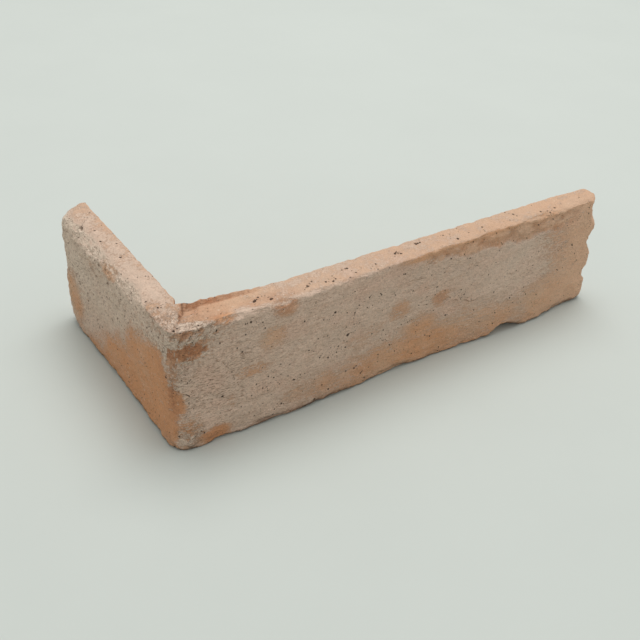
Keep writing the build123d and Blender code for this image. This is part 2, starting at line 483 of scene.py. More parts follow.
flakes = g.noise(P, (15.0, 15.0, 11.0), detail=4.0, roughness=0.55, distortion=0.4)
crumbs = g.noise(P, (5.0, 5.0, 4.0), detail=3.0, roughness=0.6)
broken = flakes.step(0.47, 0.66) * 0.75 + crumbs.step(0.5, 0.75) * 0.4
wear = near_top_arris * (broken * 0.8 + 0.3) * (1.0 - on_stretcher_leg * x.step(165.0, 140.0) * 0.6)
wear = wear + near_foot_arris * (broken * 0.6 + 0.02) + near_corner * crumbs.step(0.5, 0.8) * 0.25
wear = wear + near_ends * broken * 0.06
wear = wear * given["Arris wear"] * (1.0 - sawn)

behind = (THICKNESS - y).most(0.0) * x.step(THICKNESS, THICKNESS + 2.0)
behind = behind + (THICKNESS - x).most(0.0) * y.step(THICKNESS, THICKNESS + 2.0)
inner = x.step(THICKNESS - 1.0, THICKNESS + 2.0).most(y.step(THICKNESS - 1.0, THICKNESS + 2.0))
near_saw_edge = (below_top + behind).step(3.4, 0.2) * inner
nibble_size = (6.5, 6.5, 5.0)
nibbles = g.cells(P, nibble_size).step(0.62, 0.15) * g.cells(P, nibble_size, "Color").step(0.25, 0.75)
nibbles = nibbles * g.noise(P, (32.0, 32.0, 32.0), detail=1.0).step(0.3, 0.6)
breakout = near_saw_edge * (nibbles * 0.8 + crumbs.step(0.45, 0.8) * 0.35) * given["Saw break-out"]
print(len(relief.nodes), "nodes so far")

# %% [markdown]
# Three places have a relief of their own. The upper part of the header face is rough and open, as if the
# clay had torn from the mould, and the lower part is smooth. A strip under the stretcher's top arris has
# flaked away towards its free end. And the folds at the free end get lumps that run across it. Each is a
# mask, which says where, times a pattern, which says how deep.

# %% Header roughness, the flaked band and the folded end
smooth_line = (50.0 - (y - 26.0).most(0.0) * 0.6).least(49.0)
ragged = (g.noise(P, (16.0, 16.0, 16.0), detail=3.0) - 0.5) * 16.0
torn = (z - smooth_line + ragged).step(-3.0, 5.0) * on_header_face * below_top.step(-0.5, 3.0)
tears = g.noise(P, (4.2, 4.2, 4.2), detail=4.0, roughness=0.65, distortion=0.6).step(0.42, 0.72)
slanted = g.noise(P, (9.0, 16.0, 5.0), detail=2.0).step(0.45, 0.7)
rough = torn * (tears * 0.8 + slanted * 0.35) * given["Header roughness"]

ragged_strip = (g.noise(P, (13.0, 13.0, 13.0), detail=4.0) - 0.5) * 11.0
band_edge = 59.0 - x.step(130.0, 215.0) * 5.0 + ragged_strip
in_band = (z - band_edge).step(-0.7, 0.7) * x.step(126.0, 150.0) * x.step(246.0, 236.0)
in_band = in_band * on_stretcher_face * below_top.step(1.5, 4.0)
chunks = g.noise(P, (8.5, 8.5, 6.0), detail=3.0, roughness=0.6).step(0.38, 0.62)
band = in_band * (0.3 + chunks * 0.8) * given["Flaked band"]

folds = g.noise(P, (30.0, 24.0, 7.5), detail=2.0).step(0.3, 0.7) * on_stretcher_end * 0.35
print(len(relief.nodes), "nodes so far")

# %% [markdown]
# Round the upper outer corner the lime is a thick, crumbling crust, and under it a patch of clay has come
# away. A bite is missing from the foot of the stretcher face. The last fields are swells: there the skin
# goes out instead of in, at the two free ends and at the corner's foot, where the other fields would
# leave the slip smaller than it is. All the depths are then added up.

# %% The crust, the bare patch, the bite at the foot and the swells
crust_area = (x.most(0.0) + y.most(0.0) + below_top * 0.9 - 9.0).step(34.0, 8.0) * (1.0 - sawn)
crust_area = crust_area * (1.0 - on_header_face * 0.45)
crust_area = crust_area.most(patch(x, z, (8.0, 9.0), (6.5, 8.0), 0.8) * on_stretcher_face)
crust_area = crust_area.most(patch(x, z, (1.5, 40.0), (5.0, 17.0), 0.8) * y.step(6.0, 4.0))
crusty = g.noise(P, (3.0, 3.0, 2.2), detail=3.0, roughness=0.7, distortion=0.8).step(0.42, 0.66)
crust = crust_area * crusty * given["Crust"]
ragged_edge = g.noise(P, (4.4, 4.4, 2.6), detail=3.0, roughness=0.65).swing()
bare_patch = patch(x, z, (9.5, 53.0), (8.5, 3.0), 1.0).most(patch(x, z, (3.0, 50.8), (4.0, 3.4), 1.0))
bare_patch = (bare_patch + ragged_edge * 0.6).step(0.42, 0.6) * on_stretcher_face
foot_bite = patch(x, z, (47.0, 0.0), (6.5, 2.8), 1.2) * on_stretcher_face
room = ((STRETCHER - x) / 2.0).clamp() * on_stretcher_end + ((HEADER - y) / 2.0).clamp() * on_header_end
swell = room * 0.9 + on_header_face * y.step(92.0, 112.0) * 0.7
swell = swell + patch(x, z, (10.0, 7.0), (10.0, 11.0), 0.9) * on_stretcher_face
depth = soft + wear + breakout + rough + band + folds + crust + foot_bite + bare_patch * 0.7 - swell
print(len(relief.nodes), "nodes make the relief")

# %% [markdown]
# The upper outer arris is a rounding whose radius changes along the edge: tight on the first half of the
# stretcher, wider towards its end and widest on the header. A bevel would give it one radius all along,
# so the radius is worked out here from slow and quick noise, and the skin is rounded to it further down.
# The dent beside the inner corner has steep walls, which the CAD's smooth oval lacks, so its floor is
# given as a depth below the bed, and points above that floor will be pushed down to it.

# %% The arris's radius and the dent's floor
wander = g.noise(P, (24.0, 24.0, 24.0), detail=3.0).swing()
nicks = g.noise(P, (6.0, 6.0, 6.0), detail=3.0, roughness=0.6).swing()
arris_radius = 2.0 + x.step(118.0, 165.0) * 2.4 + y.step(38.0, 70.0) * 6.0
arris_radius = arris_radius + (x + y).step(46.0, 20.0) * 1.4 + wander * 1.3 + nicks * 0.9

back_line = 15.0 + (48.0 - x).most(0.0).least(33.0) * 0.16
left_wall = (x - (y - 8.0) * 0.62 - 8.6 + nicks * 1.6).step(-0.5, 0.9)
back_wall = (back_line - y + nicks * 0.6).step(0.5, 1.3)
front_edge = (y + wander * 2.0 - 1.5 - (22.0 - x).most(0.0) * 0.35).step(0.4, 5.0)
deepest = x.step(64.0, 24.0) * 2.4 + patch(x, y, (16.5, 17.0), (5.0, 3.2), 1.6)
dent_floor = left_wall * back_wall * front_edge * deepest
print(len(relief.nodes), "nodes so far")

# %% [markdown]
# Before the relief is applied, two places of the CAD model are softened by averaging their points with
# their neighbours: the creases across the free end, so that they read as folded clay, and the chips along
# the header's upper arris, so that they run together into one soft, uneven rounding. Then every point
# moves in by its depth.

# %% Move the skin
def softened_where(geometry, share, rounds):
    """The geometry, its points averaged with their neighbours that many times where the share is 1."""
    values = {"Value": place_m, "Iterations": rounds, "Weight": share}
    averaged = g.add("GeometryNodeBlurAttribute", {"data_type": "FLOAT_VECTOR"}, values)
    return g.add("GeometryNodeSetPosition", {}, {"Geometry": geometry, "Position": averaged})


END_ROUNDS = 8
ARRIS_ROUNDS = 36

folded_end = x.step(STRETCHER - 22.0, STRETCHER - 11.0)
softened = softened_where(given["Geometry"], folded_end, END_ROUNDS)
header_arris = (below_top + x.most(0.0)).step(17.0, 12.0) * y.step(24.0, 40.0) * x.step(12.0, 10.0)
softened = softened_where(softened, header_arris, ARRIS_ROUNDS)
inward = g.scaled(g.add("GeometryNodeInputNormal"), depth * -MM)
moved_to = g.vector("ADD", place_m, inward)
new_place = g.vector("MULTIPLY", g.vector("SUBTRACT", moved_to, OUTER_CORNER), METRES_TO_MM)
new_x, new_y, new_z = g.split(new_place)
new_z = new_z.least(HEIGHT - dent_floor)
print("depths applied")

# %% [markdown]
# Now the arris is rounded. The section across it is a corner whose two depths are known: one in from the
# outer outline, one down from the bed. A point nearer to the corner than the radius allows is pulled
# straight towards the middle of the rounding until it lies on its circle. The outline turns the outer
# corner of the slip in the same way, so one formula serves both legs and the corner between them.

# %% Round the upper arris
ROUNDING_REACH = 9.0
# Keeps a length from being 0 where something is divided by it
TINY = 0.01

arris_radius = arris_radius.least(ROUNDING_REACH)
in_x = (ROUNDING_REACH - new_x.most(0.0)).most(0.0)
in_y = (ROUNDING_REACH - new_y.most(0.0)).most(0.0)
span = ((in_x ** 2 + in_y ** 2) ** 0.5).most(TINY)
short = (arris_radius - ROUNDING_REACH + span).most(0.0)
low = (arris_radius - HEIGHT + new_z).most(0.0)
from_middle = ((short ** 2 + low ** 2) ** 0.5).most(TINY)
excess = (1.0 - arris_radius / from_middle).most(0.0)
push = short * excess / span
rounded_place = {"X": new_x + in_x * push, "Y": new_y + in_y * push, "Z": new_z - low * excess}
rounded_place = g.add("ShaderNodeCombineXYZ", {}, rounded_place)
moved_to = g.vector("ADD", g.vector("MULTIPLY", rounded_place, MM_TO_METRES), OUTER_CORNER)
moved_to = g.vector("MINIMUM", g.vector("MAXIMUM", moved_to, cad_box[0]), cad_box[1])
moved = g.add("GeometryNodeSetPosition", {}, {"Geometry": softened, "Position": moved_to})
print("the skin is kept inside the CAD box")

# %% [markdown]
# What the colour needs to know about a place is worked out here too. First the lime wash. On each face it
# starts from one amount, to which the patches of the tables are added. It is thin or gone in hollows, on
# the flaked band, at the foot of the stretcher face and on the smooth lower part of the header face, and
# it was never on the sawn back. In the dent it is thin, and the dent's steep walls are bare.

# %% How much lime is left
in_dent = left_wall * back_wall * front_edge * x.step(60.0, 35.0) * below_top.step(6.0, 4.0)
at_wall = left_wall * (1.0 - left_wall) * 4.0 * y.step(6.0, 10.0) * x.step(21.0, 17.0)
at_back = (back_line - y).step(-0.6, 0.4) * (back_line - y).step(2.6, 1.6)
at_wall = at_wall.most(at_back * x.step(13.0, 16.0) * x.step(56.0, 36.0))
bottom_line = 6.0 + (x - 60.0).most(0.0).least(110.0) * 0.16
limed_stretcher = 0.84 - patches(x, z, STRETCHER_BARE) + patches(x, z, STRETCHER_LIMED)
limed_stretcher = limed_stretcher - (bottom_line - z).step(-14.0, 10.0) * 0.55 * x.step(46.0, 100.0)
limed_stretcher = limed_stretcher - z.step(4.0, 0.5) * 0.4 - in_band * 0.75 - bare_patch
limed_stretcher = limed_stretcher * x.step(STRETCHER - 6.0, STRETCHER - 62.0)
limed_header = (z - smooth_line + ragged).step(-8.0, 9.0) * 0.95 - 0.06
limed_header = limed_header + patches(y, z, HEADER_LIMED) - patches(y, z, HEADER_BARE)
limed_end = 0.62 - z.step(30.0, 8.0) * 0.4
limed_bed = 0.18 + x.step(200.0, 120.0) * 0.2 + patches(x, y, BED_LIMED)
limed_bed = limed_bed + outer_depth.step(2.4, 0.2) * 0.35 * x.step(140.0, 60.0)
limed_bed = limed_bed - at_wall - in_dent * 0.4 - patch(x, y, (27.0, 3.5), (6.5, 4.0), 0.5)

hollows = crust_area * crusty
limed_stretcher = limed_stretcher - hollows * 0.8 - below_top.step(5.0, 2.5) * x.step(112.0, 135.0)
limed_header = limed_header - hollows * 0.9
limed_bed = limed_bed - hollows * 0.5
header_side = (nx.step(-0.72, -0.98) * x.step(8.0, 5.0)).most(on_header_face * y.step(10.0, 14.0))
stretcher_side = on_stretcher_face.most(x.step(10.0, 8.0) * y.step(10.0, 8.0)) * (1.0 - header_side)
lime = limed_stretcher.clamp() * stretcher_side * (1.0 - on_bed)
lime = lime + limed_header.clamp() * header_side + limed_bed.clamp() * on_bed + limed_end * on_header_end
lime = (lime + on_foot * 0.1) * (1.0 - sawn)
print(len(relief.nodes), "nodes so far")

# %% [markdown]
# Next the clay under the lime: where it is redder, warmer or fairer than the rest. Clay is redder where
# its skin has come off, so the hollows, the flaked band, the sawn back and the crumbled saw edge all add
# to it. In the flaked band the deep places are made redder and the lumps fairer, partly for their clay
# and partly as painted shade and light in place of relief. The dent's walls are made redder just below
# the bed, partly for their bare clay and partly as painted shade in the recess.

# %% The clay's shades
red = patches(x, z, STRETCHER_RED) * stretcher_side * (1.0 - on_bed) + patches(x, y, BED_RED) * on_bed
# In the flaked band the deeper places are made redder, partly for their clay and partly as painted shade in
# place of relief
red = red + hollows * 0.3 + in_band * chunks * 0.3 + sawn * 0.25 + on_foot * 0.2 + on_stretcher_end * 0.1
red = red + header_side * ((1.0 - torn) * 0.1 + y.step(15.0, 5.0) * 0.25) + breakout.step(0.1, 0.6) * 0.6
# Painted shade in the dent: its bare walls are made redder just below the bed
red = red + at_wall * below_top.step(5.0, 3.0) * 0.7

warm = header_side * (1.0 - torn) * 0.5 + patches(x, z, STRETCHER_WARM) * stretcher_side
warm = warm + patch(x, y, (27.0, 4.0), (6.0, 3.4), 0.6) * on_bed
warm = warm + patch(y, z, (14.0, 30.0), (10.0, 24.0), 0.4) * header_side
# The free end is fairer clay. In the flaked band the lumps are made fairer, partly for their clay and
# partly as painted light in place of relief
fair = x.step(205.0, 245.0) * 0.75 * (1.0 - on_bed) + in_band * (1.0 - chunks) * 0.7
print(len(relief.nodes), "nodes so far")

# %% [markdown]
# Then how the lime sits. It is chalkiest where it is thick, and it is made whiter on the header face,
# partly for its whiter lime and partly as painted light, and under the bare patch as a painted highlight.
# Its edges are crisp near the outer corner and soft along the middle, and in two places it is stippled
# with short dark dashes of painted shade. Painted shade lies in the turn under the foot and in the
# crease at the dent's left wall. A painted picture could hold all this, but it would have to be
# unwrapped. Kept on the skin as named attributes, it needs no picture, and the shader breaks it up with
# finer noise.

# %% Chalk and painted light, crispness and painted shade
# The crust's ridges are chalky. On the header face, in its torn upper part and towards its far end, the
# chalk is partly whiter lime and partly painted light that brightens the face
chalk = crust_area * (1.0 - crusty) * 0.75 + on_header_face * torn * z.step(5.0, 45.0) * 0.85
chalk = chalk + on_stretcher_face * patch(x, z, (203.0, 39.0), (26.0, 14.0), 0.4)
# Painted highlight: a strip of chalk under the bare patch, where the lime's broken edge catches the light
chalk = chalk + on_stretcher_face * patch(x, z, (9.5, 49.8), (8.0, 2.2), 0.8) * (1.0 - bare_patch)
chalk = chalk + on_stretcher_face * patch(x, z, (10.0, 58.0), (9.0, 2.0), 0.5)
chalk = chalk + on_bed * patches(x, y, BED_LIMED) * 0.15 + on_header_face * y.step(84.0, 108.0) * 0.3

crisp = x.step(70.0, 20.0).most(x.step(200.0, 222.0)) * (1.0 - header_side * 0.6)
crisp = crisp.most(patch(x, z, (147.5, 35.5), (7.0, 6.0), 1.0)).most(0.4)
stippled = patch(x, z, (22.0, 34.0), (24.0, 18.0), 1.0) + patch(x, z, (92.0, 12.0), (30.0, 10.0), 0.7)
stippled = stippled * stretcher_side
# Painted shade: a dark line in the turn under the foot, and in the crease at the dent's left wall
dirt = nz.step(-0.05, -0.4) * nz.step(-0.97, -0.8) * z.step(5.0, 1.0) * 0.75
crease_shade = left_wall * (1.0 - left_wall) * 2.6 * y.step(7.0, 11.0) * x.step(22.0, 18.0)
dirt = dirt.most(crease_shade * below_top.step(5.0, 3.0))


def with_attribute(geometry, name, value, kind="FLOAT"):
    """The geometry with a value kept on each of its points under that name."""
    values = {"Geometry": geometry, "Name": name, "Value": value}
    return g.add("GeometryNodeStoreNamedAttribute", {"data_type": kind, "domain": "POINT"}, values)


attributes = {
    "lime": lime, "red": red.clamp(), "torn": torn, "sawn": sawn, "bed": on_bed, "sunk": depth,
    "crisp": crisp, "crust": crust_area, "dirt": dirt, "stippled": stippled, "chalk": chalk,
    "warm": warm, "fair": fair,
}
kept = moved
for name, value in attributes.items():
    kept = with_attribute(kept, name, value)
print(len(attributes), "attributes kept on the skin")

# %% [markdown]
# The small pits are scattered over the skin at random, more of them where the header face is torn and
# fewer on the beds and the sawn back. They are joined with the listed ones, and each is set down on the
# nearest point of the surface.

# %% Scatter the pits
radius_span = {"Seed": given["Seed"]}
radius_span[RANDOM_SMALLEST] = given["Smallest pit"] * MM
radius_span[RANDOM_LARGEST] = given["Largest pit"] * MM
any_radius = g.add("FunctionNodeRandomValue", {"data_type": "FLOAT"}, radius_span, RANDOM_RESULT)
density = 1.0 + torn * z.step(15.0, 58.0) * 1.9 - (1.0 - torn) * on_header_face * 0.7
density = density - sawn * 0.4 - on_bed * 0.55
density = (density - x.step(218.0, 236.0) * 0.4).most(0.1) * given["Pits per square metre"]
values = {"Mesh": kept, "Density": density, "Seed": given["Seed"]}
scattered = g.add("GeometryNodeDistributePointsOnFaces", {"distribute_method": "RANDOM"}, values)
scattered = with_attribute(scattered, "pit_radius", any_radius)
by_hand = g.add("GeometryNodeObjectInfo", {}, {"Object": given["Placed pits"]}, "Geometry")
by_hand = g.add("GeometryNodeMeshToPoints", {}, {"Mesh": by_hand})
joined = g.add("GeometryNodeJoinGeometry", {}, {"Geometry": scattered})
relief.links.new(by_hand.socket, joined.socket.node.inputs["Geometry"])
on_skin = g.add("GeometryNodeProximity", {"target_element": "FACES"}, {0: kept})
pits = g.add("GeometryNodeSetPosition", {}, {"Geometry": joined, "Position": on_skin})
print(len(relief.nodes), "nodes so far")

# %% [markdown]
# Every point of the skin stores the vector to it from the nearest pit, and that pit's radius. The shader
# can draw a pit from that vector far more sharply than the skin's faces could. Only the larger pits are
# dug as well.

# %% Dig the larger pits
values = {"Geometry": pits, "Sample Position": place_m}
nearest = g.add("GeometryNodeSampleNearest", {"domain": "POINT"}, values)


def of_nearest_pit(value, kind):
    """What that value is at the pit that is nearest to a point."""
    values = {"Geometry": pits, "Value": value, "Index": nearest}
    return g.add("GeometryNodeSampleIndex", {"data_type": kind, "domain": "POINT"}, values)


stored_radius = g.add("GeometryNodeInputNamedAttribute", {"data_type": "FLOAT"}, {"Name": "pit_radius"})
pit_radius = of_nearest_pit(stored_radius, "FLOAT")
from_pit = g.vector("SUBTRACT", place_m, of_nearest_pit(place_m, "FLOAT_VECTOR"))
kept = with_attribute(kept, "from_pit", from_pit, "FLOAT_VECTOR")
kept = with_attribute(kept, "near_radius", pit_radius)

in_pit = (g.length(from_pit) / (pit_radius * 1.5)).step(1.0, 0.2)
dug = in_pit * (pit_radius / MM).step(0.45, 0.8) * pit_radius
dig = g.scaled(g.add("GeometryNodeInputNormal"), dug * -1.0)
pitted = g.add("GeometryNodeSetPosition", {}, {"Geometry": kept, "Offset": dig})
print(len(relief.nodes), "nodes in the whole tree")

# %% [markdown]
# The clay's colour is built from the inside out: orange clay that varies slowly, grit in it, then the
# lime wash that covers it in streaks, and the pits through both. Everything is measured in millimetres
# from the slip's origin, so the pattern stays on the piece. The colours are linear values chosen under
# this scene's soft light.

# %% The clay's own colour
PALE_CLAY = (0.70, 0.465, 0.315)
ORANGE_CLAY = (0.71, 0.35, 0.175)
RED_AND_SHADED_CLAY = (0.49, 0.22, 0.115)
FAIR_AND_LIT_CLAY = (0.79, 0.50, 0.335)
DARK_GRIT = (0.20, 0.10, 0.06)
# Painted shade for the lime's short dashes, and the colour of the cracks
SHADE_AND_CRACK_BROWN = (0.30, 0.165, 0.10)
PALE_GRIT = (0.76, 0.60, 0.46)

clay = bpy.data.materials.new("Fired clay with rubbed lime")
clay.use_nodes = True
clay.node_tree.nodes.clear()
s = Wires(clay.node_tree)


def stored(name, output="Fac"):
    return s.add("ShaderNodeAttribute", {"attribute_name": name}, {}, output)


object_place = s.add("ShaderNodeTexCoord", {}, {}, "Object")
Q = s.vector("MULTIPLY", object_place, METRES_TO_MM)
on_saw, on_top, redness_and_shade, roughened = stored("sawn"), stored("bed"), stored("red"), stored("torn")

cloudy = s.noise(Q, (26.0, 26.0, 15.0), detail=4.0, roughness=0.6)
mottled = s.noise(Q, (5.5, 5.5, 4.0), detail=5.0, roughness=0.62)
sandy = s.noise(Q, (0.9, 0.9, 0.8), detail=3.0, roughness=0.7)

orange = cloudy.step(0.32, 0.66) * 0.55 + mottled.step(0.35, 0.7) * 0.3 + stored("warm")
body = s.blend(orange.clamp(), PALE_CLAY, ORANGE_CLAY)
body = s.blend(on_top * 0.7 * (1.0 - stored("warm")), body, PALE_CLAY)
body = s.blend(stored("fair"), body, FAIR_AND_LIT_CLAY)
body = s.blend((redness_and_shade * (0.55 + mottled.step(0.3, 0.7) * 0.6)).clamp(), body, RED_AND_SHADED_CLAY)
grit_cells = (1.7, 1.7, 1.7)
grit = s.cells(Q, grit_cells).step(0.3, 0.16) * s.cells(Q, grit_cells, "Color").step(0.62, 0.7)
body = s.blend(grit * 0.35, body, DARK_GRIT)
fleck_cells = (2.6, 2.6, 2.6)
flecks = s.cells(Q, fleck_cells).step(0.27, 0.15) * s.cells(Q, fleck_cells, "Color").step(0.66, 0.72)
body = s.blend(flecks * 0.4, body, PALE_GRIT)
print(len(clay.node_tree.nodes), "nodes for the clay")

# %% [markdown]
# The lime wash is a thin, greyish pink film. It was brushed and rubbed along the brick, so its gaps are
# long, thin streaks. A threshold on the stored amount plus streaky noise gives it the crisp, grainy edges
# of something that flaked rather than faded, and a slower noise makes it thinner in places.

# %% The lime wash
LIME = (0.755, 0.555, 0.43)
GREY_LIME = (0.63, 0.475, 0.37)
PINK_LIME = (0.72, 0.475, 0.36)
DUSTY_CLAY = (0.66, 0.45, 0.33)
CHALK_AND_LIGHT = (0.79, 0.64, 0.51)

streaks = s.noise(Q, (11.0, 11.0, 1.1), detail=4.0, roughness=0.65)
fine_streaks = s.noise(Q, (4.0, 4.0, 0.55), detail=3.0, roughness=0.7)
film = stored("lime") + mottled.swing() * 0.4 + streaks.swing() * 0.45 + fine_streaks.swing() * 0.5
film = film + sandy.swing() * 0.6
crisp = stored("crisp")
covered = film.step(0.34, 0.58) * crisp + film.step(0.12, 0.86) * (1.0 - crisp)
thin = cloudy.step(0.35, 0.7) * 0.12 + fine_streaks.step(0.4, 0.7) * 0.16
covered = (covered * (0.98 - thin)).clamp()
lime_colour = s.blend(mottled.step(0.35, 0.65) * 0.7, LIME, GREY_LIME)
lime_colour = s.blend(cloudy.step(0.5, 0.66) * 0.5, lime_colour, PINK_LIME)
# Chalk is whiter lime, and on the header face and under the bare patch it is also painted light
lime_colour = s.blend((stored("chalk") * (0.5 + sandy * 0.8)).clamp(), lime_colour, CHALK_AND_LIGHT)
dusty = s.blend((stored("lime") * 0.9).clamp(), body, DUSTY_CLAY)
surface = s.blend(covered, dusty, lime_colour)
print(len(clay.node_tree.nodes), "nodes with the lime")

# %% [markdown]
# A few hairline cracks run along the stretcher face, where the clay was dragged and then shrank in the
# kiln. They are finer than the skin's faces, so they are drawn and not cut. Each is a line from one place
# to another, in millimetres from the outer corner, that wanders a little and thins out at both ends.

# %% Hairline cracks
CRACKS = (
    ((151.5, 32.2), (176.2, 25.9)),
    ((169.2, 41.2), (183.9, 42.7)),
    ((118.0, 52.5), (139.6, 51.0)),
)
CRACK_TAPER = 7.0

across, behind_face, above = s.split(s.vector("SUBTRACT", Q, OUTER_CORNER / MM))
drift = (s.noise(Q, (5.0, 5.0, 5.0), detail=3.0) - 0.5) * 3.0
cracked = 0.0
for (start, low), (end, high) in CRACKS:
    line = low + (across - start) * ((high - low) / (end - start))
    between = across.step(start, start + CRACK_TAPER) * across.step(end, end - CRACK_TAPER)
    cracked = (above - line + drift).size().step(0.42, 0.1) * between + cracked
cracked = cracked * behind_face.step(5.0, 3.0) * streaks.step(0.4, 0.55)
print(len(CRACKS), "cracks")

# %% [markdown]
# The pits are drawn from the stored vectors: a place is inside a pit where it is nearer to the pit's
# middle than the pit's radius, with some noise on that distance so that no pit is a neat circle. Pores
# finer than those come from the cells of a Voronoi texture, small ones everywhere and wider ones where
# the header face is torn. Their dark colour is painted shade inside the holes.

# %% Pits and pores
# Painted shade inside the pits and pores: near black, and browner where the header face is torn
PIT_DARK = (0.05, 0.028, 0.018)
PIT_BROWN = (0.25, 0.11, 0.055)

reach = s.length(stored("from_pit", "Vector"))
uneven = s.noise(Q, (1.3, 1.3, 1.3), detail=2.0)
share = reach / (stored("near_radius") * (0.6 + uneven * 0.9))
pit = share.step(1.05, 0.7)
pore_cells = (2.9, 2.9, 2.4)
pore_size = s.cells(Q, pore_cells, "Color").step(0.3, 1.0) * (0.13 + roughened * 0.09)
pore = ((s.cells(Q, pore_cells) - pore_size) / 0.05).step(1.0, 0.0) * pore_size.step(0.0, 0.05)
torn_cells = (1.9, 1.9, 1.6)
open_pore = s.cells(Q, torn_cells).step(0.34, 0.2) * s.cells(Q, torn_cells, "Color").step(0.5, 0.6)
open_pore = open_pore * roughened
holes = pit.most(pore * 0.75).most(open_pore * 0.6)
print(len(clay.node_tree.nodes), "nodes with the pits")

# %% [markdown]
# Up close the lime is crossed by short dark dashes along the brick, painted shade of its small bumps, and
# the crust at the corner by crooked little cracks, which a band of distorted noise imitates. Deep hollows
# are made redder, partly for bared clay and partly as painted shade. Sand makes the whole surface a
# little uneven in tone, the side faces are painted lighter and the beds darker as painted light, and the
# painted shade of the pits, of the turn under the foot and of the dent's crease goes over everything else.

# %% Painted shade dashes, cracks in the crust and the finished colour
specks = s.noise(Q, (0.62, 0.62, 0.55), detail=2.0, roughness=0.8)
dashes = s.noise(Q, (2.4, 2.4, 0.5), detail=2.0, roughness=0.6)
more = stored("stippled") * 0.06
# The dashes are painted shade of small bumps in the lime, more of them where it is stippled; the cracks are
# drawn dark with them
shade_dashes_and_cracks = dashes.step(0.41 + more, 0.33 + more) * covered * (0.3 + crisp * 0.45) * (1.0 - on_top)
shade_dashes_and_cracks = shade_dashes_and_cracks.most(cracked * 0.8)
worms = s.noise(Q, (2.1, 2.1, 1.5), detail=3.0, roughness=0.6, distortion=1.2)
shade_dashes_and_cracks = shade_dashes_and_cracks.most(worms.step(0.45, 0.49) * worms.step(0.54, 0.5) * stored("crust") * 0.6)
# Deeper places are darkened towards red clay, partly for bared clay and partly as painted shade in the
# hollows
surface = s.blend((stored("sunk").step(1.2, 3.2) * 0.25).clamp(), surface, RED_AND_SHADED_CLAY)
surface = s.blend(shade_dashes_and_cracks, surface, SHADE_AND_CRACK_BROWN)
# Painted light: the side faces are made lighter and the beds darker than their own colours; sand varies the
# tone everywhere
painted_light_and_sand = 1.08 - on_top * 0.12 + (specks.swing(0.17) * 0.22 + sandy.swing() * 0.14) * (1.0 - on_top * 0.35)
surface = s.scaled(surface, painted_light_and_sand)
# Painted shade goes over everything else: in the pits and pores, in the turn under the foot and in the
# dent's crease
pit_shade = s.blend(roughened * 0.8, PIT_DARK, PIT_BROWN)
colour = s.blend((holes * (0.88 - roughened * 0.32)).most(stored("dirt")), surface, pit_shade)
print(len(clay.node_tree.nodes), "nodes with the finished colour")

# %% [markdown]
# The finest relief is left to a bump: sand in the clay, the steps at the edges of the lime film, drag
# streaks, the pits' depth, and on the sawn faces the fine arcs that the turning blade leaves. Fired clay
# is matt, and the lime is a little rougher than the bare clay.

# %% Bump, roughness and the finished material
# The width of a saw mark, and how far below the bed and along the slip the blade's middle lay
SAW_MARK = 1.9
BLADE_BELOW = 210.0
BLADE_ALONG = 40.0

qx, qy, qz = s.split(Q)
along = qx + qy
dimples = s.noise(Q, (2.3, 2.3, 1.5), detail=2.0, roughness=0.5)
from_blade = ((qz + BLADE_BELOW) ** 2 + (along - BLADE_ALONG) ** 2) ** 0.5
blade = from_blade / SAW_MARK + (cloudy - 0.5) * 2.0
marks = (blade * math.tau).sine() * on_saw * (0.04 + fine_streaks * 0.06)
plain = (1.0 - on_saw) * (1.0 - on_top * 0.7)
drags = streaks.swing() * 0.16 + fine_streaks.swing() * 0.24 + dimples.swing(0.16) * 0.34
relief_mm = sandy.swing() * 0.16 + specks.swing() * 0.07 + covered * 0.12 - shade_dashes_and_cracks * 0.25
relief_mm = relief_mm + drags * plain + mottled.swing() * 0.14 * (0.5 + roughened)
relief_mm = relief_mm + marks - holes * 0.5
bump = s.add("ShaderNodeBump", {}, {"Strength": 1.0, "Distance": MM, "Height": relief_mm}, "Normal")
values = {"Base Color": colour, "Roughness": 0.86 + covered * 0.08, "Normal": bump}
values.update({"IOR": 1.5, "Specular IOR Level": 0.25})
shader = s.add("ShaderNodeBsdfPrincipled", {}, values, "BSDF")
clay_output = clay.node_tree.nodes.new("ShaderNodeOutputMaterial")
clay.node_tree.links.new(shader.socket, clay_output.inputs["Surface"])
print(len(clay.node_tree.nodes), "nodes in the material")

# %% [markdown]
# The tree ends by realizing its instances and setting the material. Its inputs are set on the modifier by
# their identifiers, before the object is evaluated for the first time. The evaluated mesh then becomes
# the finished piece: a plain mesh at the origin, with no modifier left.

# %% Finish the tree and make the piece
realized = g.add("GeometryNodeRealizeInstances", {}, {"Geometry": pitted})
finished = g.add("GeometryNodeSetMaterial", {}, {"Geometry": realized, "Material": given["Clay"]})
group_output = relief.nodes.new("NodeGroupOutput")
relief.links.new(finished.socket, group_output.inputs["Geometry"])

weather = skin.modifiers.new("Weathered clay", "NODES")
weather.node_group = relief
for name, amount in RELIEF.items():
    weather[entries[name].identifier] = amount
weather[entries["Seed"].identifier] = SEED
weather[entries["Placed pits"].identifier] = placed_pits
weather[entries["Clay"].identifier] = clay

depsgraph = bpy.context.evaluated_depsgraph_get()
evaluated = skin.evaluated_get(depsgraph)
clay_mesh = bpy.data.meshes.new_from_object(evaluated, preserve_all_data_layers=True, depsgraph=depsgraph)
clay_mesh.name = "corner_slip_clay"
skin.modifiers.clear()
skin.data = clay_mesh
clay_mesh.shade_smooth()
triangles = sum(len(face.vertices) - 2 for face in clay_mesh.polygons)
print(f"{triangles} triangles, attributes:", sorted(a.name for a in clay_mesh.attributes))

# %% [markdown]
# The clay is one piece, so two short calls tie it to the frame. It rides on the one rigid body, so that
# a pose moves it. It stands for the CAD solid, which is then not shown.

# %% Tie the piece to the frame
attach(skin, "root")
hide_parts("corner_slip")
print("corner_slip_clay rides on root and replaces corner_slip")

